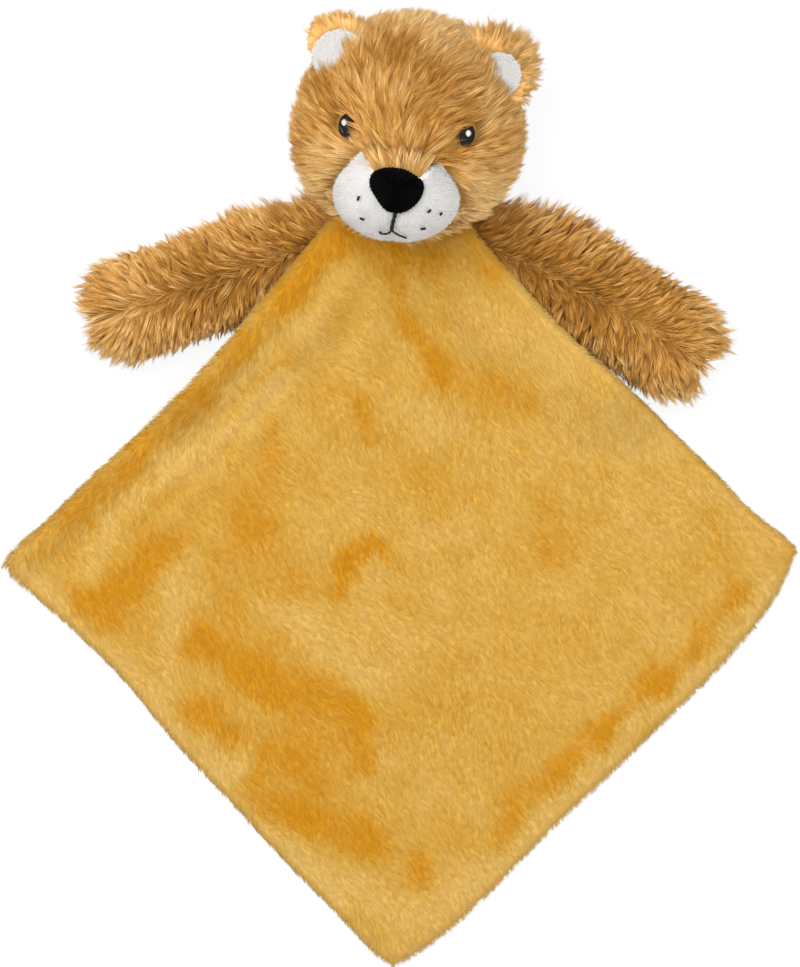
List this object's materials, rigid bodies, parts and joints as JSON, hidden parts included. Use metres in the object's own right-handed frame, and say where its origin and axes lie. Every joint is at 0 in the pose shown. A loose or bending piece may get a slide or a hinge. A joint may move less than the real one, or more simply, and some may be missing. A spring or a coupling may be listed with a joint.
{
  "type": "comfort blanket lovey",
  "caption": "Square double-layer plush comfort blanket with a stuffed long-pile lion head and two stuffed arms sewn at one corner.",
  "frame": {"origin": "middle of the blanket's back face, on the surface that the toy lies on", "axes": "+Z out of the front, the way the face looks; +Y from the blanket towards the head; +X to the right as seen from the front"},
  "size_m": [0.4178, 0.5017, 0.0979],
  "materials": {
    "mustard_plush": "short brushed minky pile",
    "tan_long_plush": "long shaggy pile",
    "white_short_plush": "short sheared pile",
    "black_short_plush": "short velour",
    "dark_brown_thread": "satin-stitched thread",
    "white_thread": "satin-stitched thread",
    "fibre_stuffing": "loose polyester fibre"
  },
  "bodies": {
    "blanket": {"blanket_front_panel": "mustard_plush", "blanket_back_panel": "mustard_plush"},
    "neck": {"neck_stub": "tan_long_plush"},
    "head": {"head_face_cover": "tan_long_plush", "head_back_cover": "tan_long_plush", "head_stuffing": "fibre_stuffing", "muzzle_left_panel": "white_short_plush", "muzzle_right_panel": "white_short_plush", "nose_bridge_panel": "tan_long_plush", "nose_pad": "black_short_plush", "left_eye_embroidery": "dark_brown_thread", "right_eye_embroidery": "dark_brown_thread", "left_eye_glint": "white_thread", "right_eye_glint": "white_thread", "mouth_embroidery": "dark_brown_thread", "whisker_stitch_left_1": "dark_brown_thread", "whisker_stitch_left_2": "dark_brown_thread", "whisker_stitch_right_1": "dark_brown_thread", "whisker_stitch_right_2": "dark_brown_thread", "whisker_stitch_right_3": "dark_brown_thread"},
    "left_ear": {"left_ear_back": "tan_long_plush", "left_ear_lining": "white_short_plush"},
    "right_ear": {"right_ear_back": "tan_long_plush", "right_ear_lining": "white_short_plush"},
    "left_arm": {"left_arm_front_panel": "tan_long_plush", "left_arm_back_panel": "tan_long_plush", "left_arm_stuffing": "fibre_stuffing"},
    "right_arm": {"right_arm_front_panel": "tan_long_plush", "right_arm_back_panel": "tan_long_plush", "right_arm_stuffing": "fibre_stuffing"}
  },
  "joints": [
    {"name": "neck_nod", "type": "hinge", "parent": "blanket", "child": "neck", "pos_m": [-0.001, 0.1725, 0.01965], "axis": [1, 0, 0], "range_deg": [0, 60]},
    {"name": "head_turn", "type": "hinge", "parent": "neck", "child": "head", "pos_m": [-0.001, 0.1725, 0.01965], "axis": [0.0872, 0.9962, 0], "range_deg": [-20, 20]},
    {"name": "left_arm_swing", "type": "hinge", "parent": "blanket", "child": "left_arm", "pos_m": [-0.033, 0.1695, 0], "axis": [0, 0, -1], "range_deg": [-5, 30]},
    {"name": "right_arm_swing", "type": "hinge", "parent": "blanket", "child": "right_arm", "pos_m": [0.031, 0.1695, 0], "axis": [0, 0, 1], "range_deg": [-5, 30]},
    {"name": "left_ear_flap", "type": "hinge", "parent": "head", "child": "left_ear", "pos_m": [-0.03957, 0.26665, 0.0385], "axis": [0.682, 0.7314, 0], "range_deg": [-25, 40], "stiffness_Nm_per_rad": 0.002},
    {"name": "right_ear_flap", "type": "hinge", "parent": "head", "child": "right_ear", "pos_m": [0.05334, 0.25852, 0.0385], "axis": [0.5446, -0.8387, 0], "range_deg": [-25, 40], "stiffness_Nm_per_rad": 0.002}
  ]
}
